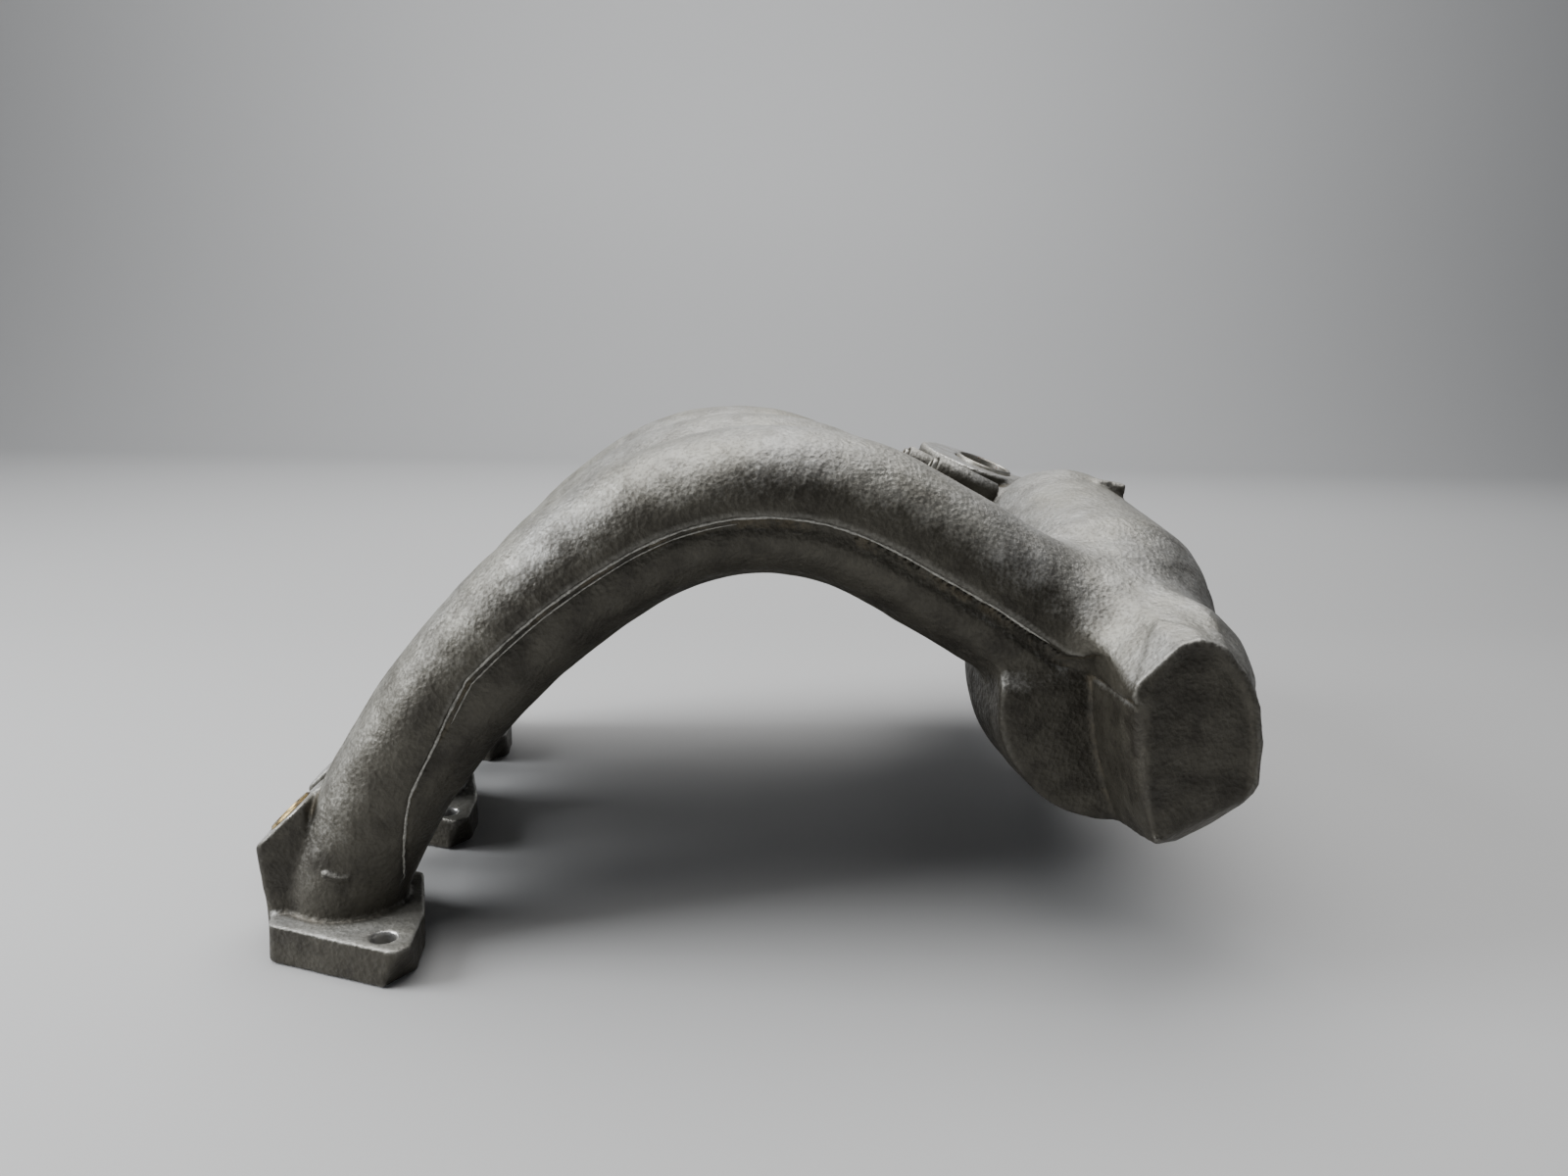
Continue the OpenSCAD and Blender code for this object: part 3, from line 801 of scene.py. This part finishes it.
def make_casting():
    """The whole casting; its "bend" attribute is above 0 in hollows and below 0 on edges."""
    rng = np.random.default_rng(5)
    w = Window((-60, -200, -10), (400, 200, 300))
    rough = 0.32 * lattice_noise(rng, 17.0, w) + 0.20 * lattice_noise(rng, 6.5, w)
    f = outer_field(rough)
    add_marks(f)
    np.maximum(f, -w.z, out=f)
    solid = f.copy()
    np.maximum(f, -hollow_field(), out=f)
    f[0], f[-1], f[:, 0], f[:, -1], f[:, :, 0], f[:, :, -1] = (FAR,) * 6
    verts, quads = surface_nets(f)
    obj = build_mesh("manifold_casting", verts, quads)
    soft = blurred(np.clip(solid, -6, 6), 6)
    # bend marks the hollows that the cast finish darkens as painted shade.
    bend = np.clip(-sample(soft, verts) / 0.9, -1.0, 1.0).astype(np.float32)
    obj.data.attributes.new("bend", "FLOAT", "POINT").data.foreach_set("value", bend)
    machined_faces(obj, verts, quads)
    strips = bmesh.new()
    strips.from_mesh(obj.data)
    strips.verts.ensure_lookup_table()
    for y0, side, from_s, to_s, shift, r in BEADS:
        ring_verts, faces = bead_strip(solid, y0, side, from_s, to_s, shift, r)
        made = [strips.verts.new(Vector(v) * MM) for v in ring_verts]
        for face in faces:
            strips.faces.new([made[i] for i in face]).smooth = True
    strips.verts.ensure_lookup_table()
    layer = strips.verts.layers.float["bend"]
    for v in strips.verts[len(verts) :]:
        v[layer] = RIDGE_BEND
    for y in VACUUM_Y:
        profile = collar(VACUUM_BOSS_R, VACUUM_PIPE[2], 0.0, VACUUM_BOSS_LEN, 0.7)
        pour(strips, turned(profile, (VACUUM_MOUTH[0], y, VACUUM_MOUTH[1]), vacuum_axis(), 48))
    bmesh.ops.recalc_face_normals(strips, faces=strips.faces)
    strips.to_mesh(obj.data)
    strips.free()
    return obj


def machined_faces(obj, verts, quads):
    """Marks the faces that a cutter has touched."""
    c = verts[quads].mean(axis=1)
    n = np.cross(verts[quads[:, 2]] - verts[quads[:, 0]], verts[quads[:, 3]] - verts[quads[:, 1]])
    n /= np.maximum(np.linalg.norm(n, axis=1), 1e-9)[:, None]
    cut = c[:, 2] < 0.3
    pad = np.array([-math.sin(TILT), 0.0, math.cos(TILT)])
    for y0 in RUNNER_Y + RAIL_Y:
        v = c - np.array([FACE[0], y0, FACE[1]])
        high = v @ pad
        away = np.linalg.norm(v - high[:, None] * pad, axis=1)
        cut |= (abs(high) < 0.4) & (away < 15.0) & (n @ pad > 0.8)
        cut |= (high < 0.5) & (high > -BUSH_LEN - 4.0) & (away < BUSH_R + 0.5)
    for y0 in RUNNER_Y:
        cut |= (np.hypot(c[:, 0], c[:, 1] - y0) < 17.6) & (c[:, 2] < FLANGE_T)
        for s in (1, -1):
            away = np.hypot(c[:, 0] - s * BOLT[0], c[:, 1] - y0 - s * BOLT[1])
            cut |= (away < 5.2) & (c[:, 2] < FLANGE_T + 2)
    axis = port_axis()
    v = c - np.array(PORT_AT)
    high = v @ axis
    away = np.linalg.norm(v - high[:, None] * axis, axis=1)
    cut |= (abs(high) < 0.5) & (away < PORT_R - 0.8) & (n @ axis > 0.8)
    cut |= c[:, 1] > LOG_END + FLANGE_Y - 0.4
    cut |= (np.hypot(c[:, 0] - LOG[0], c[:, 2] - LOG[1]) < 30.8) & (c[:, 1] > 150.0)
    obj.data.polygons.foreach_set("material_index", cut.astype(np.int32))


# ---------------------------------------------------------------- materials


class Finish:
    """A material while its nodes are put together; sizes are in millimetres."""

    def __init__(self, name):
        self.mat = bpy.data.materials.new(name)
        self.mat.use_nodes = True
        self.tree = self.mat.node_tree
        self.shader = self.tree.nodes["Principled BSDF"]
        self.place = self.add("ShaderNodeTexCoord").outputs["Object"]

    def add(self, kind):
        return self.tree.nodes.new(kind)

    def put(self, socket, value):
        if isinstance(value, bpy.types.NodeSocket):
            self.tree.links.new(value, socket)
        else:
            socket.default_value = value

    def stretched(self, scale):
        n = self.add("ShaderNodeMapping")
        self.put(n.inputs["Vector"], self.place)
        n.inputs["Scale"].default_value = scale
        return n.outputs["Vector"]

    def noise(self, size, detail=3.0, rough=0.55, vector=None):
        n = self.add("ShaderNodeTexNoise")
        self.put(n.inputs["Vector"], vector or self.place)
        n.inputs["Scale"].default_value = 1000.0 / size
        n.inputs["Detail"].default_value = detail
        n.inputs["Roughness"].default_value = rough
        return n.outputs["Fac"]

    def cells(self, size):
        n = self.add("ShaderNodeTexVoronoi")
        self.put(n.inputs["Vector"], self.place)
        n.inputs["Scale"].default_value = 1000.0 / size
        return n.outputs["Distance"]

    def math(self, kind, a, b=0.0):
        n = self.add("ShaderNodeMath")
        n.operation = kind
        self.put(n.inputs[0], a)
        self.put(n.inputs[1], b)
        return n.outputs[0]

    def spread(self, value, low, high, to_low=0.0, to_high=1.0):
        n = self.add("ShaderNodeMapRange")
        n.interpolation_type = "SMOOTHSTEP"
        self.put(n.inputs["Value"], value)
        for name, v in (("From Min", low), ("From Max", high), ("To Min", to_low), ("To Max", to_high)):
            n.inputs[name].default_value = v
        return n.outputs["Result"]

    def mix(self, part, a, b):
        n = self.add("ShaderNodeMix")
        n.data_type = "RGBA"
        self.put(n.inputs[0], part)
        for socket, value in ((n.inputs[6], a), (n.inputs[7], b)):
            self.put(socket, value if isinstance(value, bpy.types.NodeSocket) else (*value, 1.0))
        return n.outputs[2]

    def attribute(self, name):
        n = self.add("ShaderNodeAttribute")
        n.attribute_name = name
        return n.outputs["Fac"]

    def upward(self):
        """Height part of the surface normal, from -1 underneath to 1 on top."""
        n = self.add("ShaderNodeSeparateXYZ")
        self.put(n.inputs[0], self.add("ShaderNodeNewGeometry").outputs["Normal"])
        return n.outputs["Z"]

    def bump(self, height, size):
        n = self.add("ShaderNodeBump")
        n.inputs["Distance"].default_value = size * MM
        n.inputs["Strength"].default_value = 1.0
        self.put(n.inputs["Height"], height)
        return n.outputs["Normal"]

    def done(self, color, rough, normal, metallic):
        self.put(self.shader.inputs["Base Color"], color)
        self.put(self.shader.inputs["Roughness"], rough)
        self.put(self.shader.inputs["Normal"], normal)
        self.put(self.shader.inputs["Metallic"], metallic)
        return self.mat


def cast_finish():
    """Sand-cast aluminium, dulled with age: pale on top; darker down its sides and in hollows, which is
    partly oily dirt and partly painted shade.
    """
    m = Finish("cast_aluminium")
    grain = m.noise(1.2, 2.0, 0.6)
    pits = m.cells(2.0)
    lumps = m.noise(5.0, 3.0, 0.6)
    stain = m.noise(14.0, 5.0, 0.65)
    patch = m.noise(55.0, 3.0)
    bend = m.attribute("bend")
    metal = m.mix(m.spread(stain, 0.35, 0.65), (0.34, 0.335, 0.315), (0.46, 0.46, 0.445))
    metal = m.mix(m.spread(patch, 0.4, 0.65, 0.0, 0.45), metal, (0.38, 0.365, 0.30))
    metal = m.mix(m.spread(grain, 0.36, 0.5, 0.35, 0.0), metal, (0.20, 0.195, 0.175))
    rise = m.math("ADD", m.upward(), m.math("MULTIPLY", m.spread(stain, 0.3, 0.7, -1.0, 1.0), 0.10))
    rise = m.math("ADD", rise, m.math("MULTIPLY", m.spread(grain, 0.35, 0.65, -1.0, 1.0), 0.07))
    # Painted shade, partly oily dirt: faces that turn sideways or down are darkened as if light from
    # above left them in shade.
    side = m.spread(rise, 0.90, 0.10)
    # Painted shade in hollows: concave places, found from the bend attribute, take the dark tone.
    hole = m.spread(bend, 0.12, 0.6)
    shade_and_grime = m.math("MAXIMUM", side, m.math("MULTIPLY", hole, 0.85))
    # Dark tone laid on sides and hollows: partly oily dirt, partly painted shade.
    dark = m.mix(m.spread(stain, 0.35, 0.62), (0.024, 0.020, 0.013), (0.056, 0.050, 0.036))
    dark = m.mix(m.spread(patch, 0.45, 0.65, 0.0, 0.4), dark, (0.076, 0.070, 0.054))
    color = m.mix(m.math("MULTIPLY", shade_and_grime, 0.96), metal, dark)
    worn = m.math("MULTIPLY", m.spread(bend, -0.6, RIDGE_BEND), m.spread(grain, 0.35, 0.6, 0.5, 1.0))
    color = m.mix(worn, color, (0.46, 0.45, 0.41))
    crust = m.math("MULTIPLY", m.spread(bend, 0.3, 0.8), m.spread(stain, 0.45, 0.6))
    color = m.mix(m.math("MULTIPLY", crust, 0.35), color, (0.13, 0.10, 0.055))
    rough = m.spread(lumps, 0.3, 0.7, 0.44, 0.60)
    height = m.math("ADD", m.math("MULTIPLY", grain, 0.5), m.math("MULTIPLY", pits, 0.6))
    height = m.math("ADD", height, m.math("MULTIPLY", lumps, 1.0))
    metallic = m.spread(shade_and_grime, 0.0, 1.0, 0.65, 0.45)
    return m.done(color, rough, m.bump(height, 0.42), metallic)


def machined_finish():
    """Faced aluminium with fine cutter lines and a few stains."""
    m = Finish("machined_aluminium")
    lines = m.noise(0.5, 2.0, 0.5, m.stretched((1.0, 0.06, 1.0)))
    stain = m.noise(9.0, 4.0, 0.6)
    scratch = m.noise(2.5, 4.0, 0.7)
    color = m.mix(m.spread(stain, 0.4, 0.65), (0.66, 0.66, 0.65), (0.46, 0.45, 0.42))
    color = m.mix(m.spread(scratch, 0.35, 0.45, 0.5, 0.0), color, (0.30, 0.29, 0.26))
    rough = m.spread(stain, 0.35, 0.7, 0.28, 0.5)
    height = m.math("ADD", lines, m.math("MULTIPLY", scratch, 0.4))
    return m.done(color, rough, m.bump(height, 0.05), 0.85)


def steel_finish():
    """Zinc-plated steel gone dull, with rust freckles in the thread."""
    m = Finish("steel")
    film = m.noise(4.0, 4.0, 0.6)
    rust = m.noise(1.6, 5.0, 0.7)
    color = m.mix(m.spread(film, 0.35, 0.65), (0.50, 0.49, 0.46), (0.34, 0.33, 0.29))
    color = m.mix(m.spread(rust, 0.56, 0.68, 0.0, 0.85), color, (0.19, 0.09, 0.04))
    rough = m.spread(film, 0.3, 0.7, 0.3, 0.55)
    height = m.math("ADD", film, m.math("MULTIPLY", rust, 0.6))
    metallic = m.spread(rust, 0.56, 0.68, 0.95, 0.2)
    return m.done(color, rough, m.bump(height, 0.08), metallic)


def brass_finish():
    """Brass under a dark oily film."""
    m = Finish("brass")
    film = m.noise(3.0, 4.0, 0.65)
    fine = m.noise(0.7, 3.0, 0.6)
    color = m.mix(m.spread(film, 0.35, 0.6), (0.42, 0.31, 0.13), (0.13, 0.095, 0.05))
    rough = m.spread(fine, 0.3, 0.7, 0.3, 0.5)
    return m.done(color, rough, m.bump(fine, 0.04), 0.9)


# ---------------------------------------------------------------- fitted pieces


def turned(profile, at, axis, segments=48, thread=None):
    """A turned shape: profile is (radius, height) points from one end to the other or all the way round.

    thread is (pitch, depth, from, to): the radius follows a helix between those heights.
    """
    axis = Vector(axis).normalized()
    turn = axis.to_track_quat("Z", "Y").to_matrix().to_4x4()
    place = Matrix.Translation(Vector(at)) @ turn
    ring_shape = profile[0][0] > 0
    mesh = bmesh.new()
    rows = []
    for r, h in profile:
        if r <= 0:
            rows.append([mesh.verts.new(place @ Vector((0, 0, h)))])
            continue
        row = []
        for j in range(segments):
            a = 2 * math.pi * j / segments
            here = r
            if thread and thread[2] <= h <= thread[3]:
                phase = (h / thread[0] - j / segments) % 1.0
                fade = min(1.0, (h - thread[2]) / thread[0] + 0.2, (thread[3] - h) / thread[0] + 0.2)
                here -= thread[1] * fade * abs(2 * phase - 1)
            row.append(mesh.verts.new(place @ Vector((here * math.cos(a), here * math.sin(a), h))))
        rows.append(row)
    pairs = list(zip(rows, rows[1:] + ([rows[0]] if ring_shape else [])))
    if not ring_shape:
        pairs = pairs[: len(rows) - 1]
    for low, high in pairs:
        for j in range(segments):
            k = (j + 1) % segments
            corners = [low[j % len(low)], low[k % len(low)], high[k % len(high)], high[j % len(high)]]
            corners = list(dict.fromkeys(corners))
            if len(corners) > 2:
                mesh.faces.new(corners)
    bmesh.ops.recalc_face_normals(mesh, faces=mesh.faces)
    bmesh.ops.scale(mesh, vec=(MM, MM, MM), verts=mesh.verts)
    return mesh


def pour(target, shape):
    """Adds a turned shape to a mesh that is being put together, and frees it."""
    part = bpy.data.meshes.new("part")
    shape.to_mesh(part)
    shape.free()
    part.polygons.foreach_set("use_smooth", [True] * len(part.polygons))
    target.from_mesh(part)
    bpy.data.meshes.remove(part)


def fitted(name, meshes, node, mat):
    """Joins turned shapes into one piece that stands for a CAD node."""
    data = bpy.data.meshes.new(name)
    whole = bmesh.new()
    for mesh in meshes:
        pour(whole, mesh)
    whole.to_mesh(data)
    whole.free()
    data.polygons.foreach_set("use_smooth", [True] * len(data.polygons))
    data.set_sharp_from_angle(angle=math.radians(35))
    obj = bpy.data.objects.new(name, data)
    bpy.context.scene.collection.objects.link(obj)
    data.materials.append(mat)
    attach(obj, "root")
    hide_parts(node)
    return obj


def collar(outer, inner, low, high, edge):
    """Profile of a ring with bevelled edges."""
    return [
        (inner, low + edge),
        (inner + edge, low),
        (outer - edge, low),
        (outer, low + edge),
        (outer, high - edge),
        (outer - edge, high),
        (inner + edge, high),
        (inner, high - edge),
    ]


def tapped(outer, inner, length, pitch, edge):
    """Profile of a threaded insert, seen from its open end at height 0."""
    count = int((length - 2 * edge) / (pitch / 6))
    hole = [(inner, -edge - (length - 2 * edge) * k / count) for k in range(count + 1)]
    return hole + [
        (inner + edge, -length),
        (outer - edge, -length),
        (outer, -length + edge),
        (outer, -edge),
        (outer - edge, 0.0),
        (inner + edge, 0.0),
    ]


def stud(r, core, low, shoulder, high, pitch):
    """Profile of a stud: a plain core below the shoulder, a thread above it."""
    edge = 0.9
    rows = int((high - edge - shoulder) / (pitch / 6))
    body = [(r, shoulder + (high - edge - shoulder) * k / rows) for k in range(rows + 1)]
    return [(0, low), (core - 0.5, low), (core, low + 0.5), (core, shoulder)] + body + [
        (r - edge, high),
        (0, high),
    ]


def make_fitted():
    steel, brass = steel_finish(), brass_finish()
    pad = (-math.sin(TILT), 0.0, math.cos(TILT))
    bushes = []
    for y0 in RUNNER_Y:
        profile = collar(BUSH_R, PASSAGE_R, -BUSH_LEN, 0.9, 0.7)
        bushes.append(turned(profile, (FACE[0], y0, FACE[1]), pad, 64))
    fitted("injector_bushes", bushes, "injector_seat_bushes", brass)
    inserts = []
    for y0 in RAIL_Y:
        profile = tapped(5.0, 3.0, 8.0, 1.0, 0.5)
        inserts.append(turned(profile, (FACE[0], y0, FACE[1]), pad, 32, (1.0, -0.35, -7.5, -0.5)))
    fitted("rail_inserts", inserts, "rail_thread_inserts", steel)
    studs = []
    for sx in (-1, 1):
        for sz in (-1, 1):
            at = (LOG[0] + sx * STUD_PITCH / 2, LOG_END, LOG[1] + sz * STUD_PITCH / 2)
            profile = stud(4.0, 3.5, 0.0, FLANGE_Y, FLANGE_Y + 28.0, 1.25)
            studs.append(turned(profile, at, (0, 1, 0), 32, (1.25, 0.7, FLANGE_Y + 1.0, FLANGE_Y + 28.0)))
    fitted("throttle_studs_threaded", studs, "throttle_studs", steel)
    r, bore, length, out = SLEEVE
    sleeve = turned(collar(r, bore, out - length, out, 0.6), port_mouth(), port_axis(), 64)
    fitted("port_sleeve", [sleeve], "air_port_sleeve", steel)
    for y, name in zip(VACUUM_Y, ("front", "rear")):
        out, length, r, bore = VACUUM_PIPE
        low, high = -out, length - out
        profile = [(bore, low + 0.3), (bore + 0.4, low), (r - 0.3, low), (r, low + 0.5), (r, low + 2.0)]
        profile += [(r - 0.35, low + 2.6), (r - 0.35, low + 6.0), (r, low + 6.6), (r, high), (bore, high)]
        tube = turned(profile, (VACUUM_MOUTH[0], y, VACUUM_MOUTH[1]), vacuum_axis(), 40)
        fitted("vacuum_tube_" + name, [tube], "vacuum_pipe_" + name, steel)
    profile = tapped(6.0, 4.0, 18.0, 1.25, 0.6)
    insert = turned(profile, (*LEG_AT, 0.0), (0, 0, -1), 32, (1.25, -0.5, -17.4, -0.6))
    fitted("stay_insert_threaded", [insert], "stay_thread_insert", steel)
    profile = [(0, 0.0), (16.0, 0.0), (16.7, 0.6), (16.7, 4.3), (16.2, 5.0), (15.2, 5.0), (14.6, 4.4)]
    profile += [(13.8, 2.6), (12.6, 2.2), (6.0, 2.5), (0, 2.6)]
    plug = turned(profile, (PLUG_X, PLUG_Y, LOG[1]), (1, 0, 0), 64)
    fitted("core_plug_dished", [plug], "core_plug", steel)


# ---------------------------------------------------------------- the scene

make_camera()
make_stage()
make_lights()
casting = make_casting()
casting.data.materials.append(cast_finish())
casting.data.materials.append(machined_finish())
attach(casting, "root")
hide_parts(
    *[f"{kind}_{i}" for kind in ("runner", "head_flange", "injector_boss") for i in (1, 2, 3)],
    *[f"{kind}_{i}" for kind in ("runner_web", "rail_boss") for i in (1, 2)],
    "plenum_nose",
    "plenum_near_chamber",
    "plenum_dome",
    "plenum_log",
    "throttle_flange",
    "auxiliary_air_port",
    "vacuum_boss_front",
    "vacuum_boss_rear",
    "plenum_lug",
    "stay_leg",
)
make_fitted()
